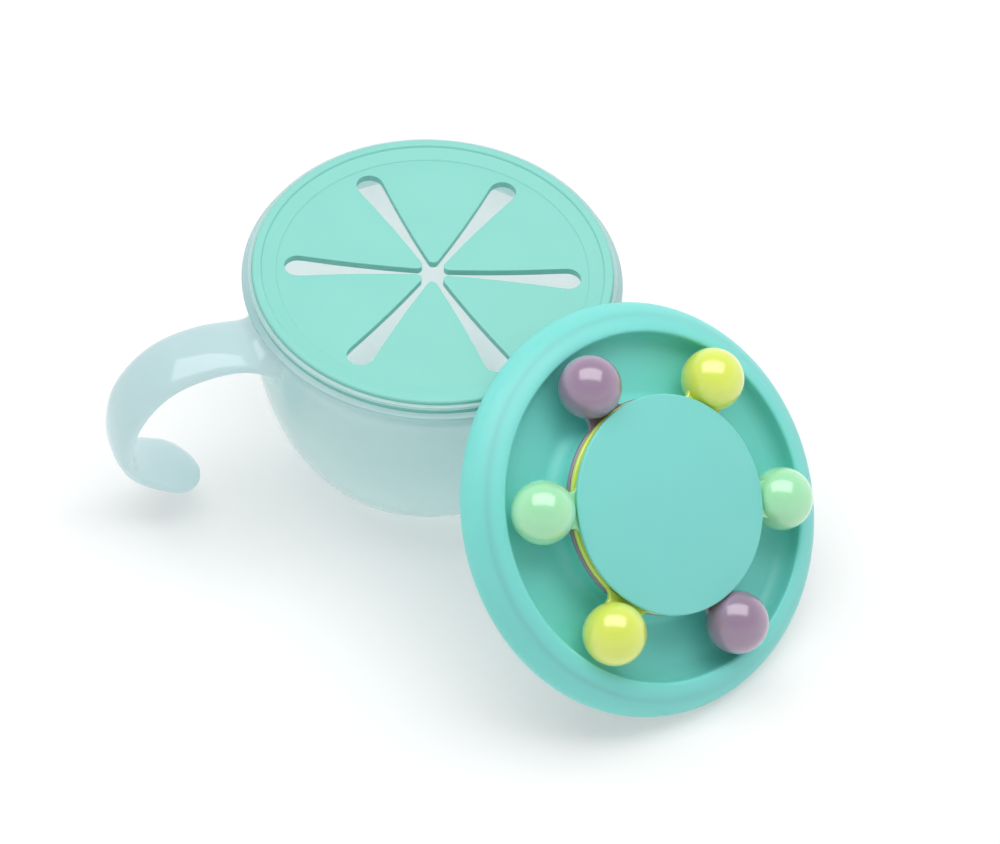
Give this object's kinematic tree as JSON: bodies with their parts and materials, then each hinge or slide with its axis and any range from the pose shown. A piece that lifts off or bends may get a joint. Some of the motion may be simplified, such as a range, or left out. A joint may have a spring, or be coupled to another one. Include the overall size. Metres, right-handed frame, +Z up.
{
  "type": "toddler snack container",
  "caption": "Toddler snack cup with a hooked handle, a soft flap finger trap in its mouth, and a snap lid with spinning ball rotors that leans on the rim.",
  "frame": {"origin": "centre of the cup's foot, on the surface that it stands on", "axes": "+Z up along the cup's axis, -X from the cup's axis towards the handle, +Y to the right of somebody who looks along -X over the cup towards the handle"},
  "size_m": [0.1838, 0.174, 0.0852],
  "materials": {
    "cup_pp": "satin translucent polypropylene, moulded",
    "ring_pp": "satin translucent polypropylene, moulded",
    "trap_tpe": "soft matte thermoplastic elastomer",
    "lid_pp": "satin opaque polypropylene, moulded",
    "rotor_purple": "glossy moulded plastic",
    "rotor_yellow": "glossy moulded plastic",
    "rotor_green": "glossy moulded plastic"
  },
  "bodies": {
    "cup": {"cup_body": "cup_pp", "trap_ring": "ring_pp", "trap_sheet": "trap_tpe"},
    "flap_1": {"flap_1": "trap_tpe"},
    "flap_2": {"flap_2": "trap_tpe"},
    "flap_3": {"flap_3": "trap_tpe"},
    "flap_4": {"flap_4": "trap_tpe"},
    "flap_5": {"flap_5": "trap_tpe"},
    "flap_6": {"flap_6": "trap_tpe"},
    "lid": {"lid_shell": "lid_pp", "spinner_cap": "lid_pp"},
    "rotor_lower": {"rotor_lower": "rotor_purple"},
    "rotor_middle": {"rotor_middle": "rotor_yellow"},
    "rotor_upper": {"rotor_upper": "rotor_green"}
  },
  "joints": [
    {"name": "lid_lift", "type": "slide", "parent": "cup", "child": "lid", "axis": [0.2936, -0.6296, 0.7193], "range_m": [0, 0.08]},
    {"name": "lower_spin", "type": "hinge", "parent": "lid", "child": "rotor_lower", "pos_m": [0.03755, -0.08052, 0.04653], "axis": [0.2936, -0.6296, 0.7193], "continuous": true},
    {"name": "middle_swing", "type": "hinge", "parent": "rotor_lower", "child": "rotor_middle", "pos_m": [0.03755, -0.08052, 0.04653], "axis": [0.2936, -0.6296, 0.7193], "range_deg": [-15, 32]},
    {"name": "upper_swing", "type": "hinge", "parent": "rotor_middle", "child": "rotor_upper", "pos_m": [0.03755, -0.08052, 0.04653], "axis": [0.2936, -0.6296, 0.7193], "range_deg": [-15, 32]},
    {"name": "flap_1_bend", "type": "hinge", "parent": "cup", "child": "flap_1", "pos_m": [0.03208, 0.00508, 0.069], "axis": [0.1564, -0.9877, 0], "range_deg": [-35, 75], "stiffness_Nm_per_rad": 0.012},
    {"name": "flap_2_bend", "type": "hinge", "parent": "cup", "child": "flap_2", "pos_m": [0.01164, 0.03032, 0.069], "axis": [0.9336, -0.3584, 0], "range_deg": [-35, 75], "stiffness_Nm_per_rad": 0.012},
    {"name": "flap_3_bend", "type": "hinge", "parent": "cup", "child": "flap_3", "pos_m": [-0.02044, 0.02524, 0.069], "axis": [0.7771, 0.6293, 0], "range_deg": [-35, 75], "stiffness_Nm_per_rad": 0.012},
    {"name": "flap_4_bend", "type": "hinge", "parent": "cup", "child": "flap_4", "pos_m": [-0.03208, -0.00508, 0.069], "axis": [-0.1564, 0.9877, 0], "range_deg": [-35, 75], "stiffness_Nm_per_rad": 0.012},
    {"name": "flap_5_bend", "type": "hinge", "parent": "cup", "child": "flap_5", "pos_m": [-0.01164, -0.03032, 0.069], "axis": [-0.9336, 0.3584, 0], "range_deg": [-35, 75], "stiffness_Nm_per_rad": 0.012},
    {"name": "flap_6_bend", "type": "hinge", "parent": "cup", "child": "flap_6", "pos_m": [0.02044, -0.02524, 0.069], "axis": [-0.7771, -0.6293, 0], "range_deg": [-35, 75], "stiffness_Nm_per_rad": 0.012}
  ]
}
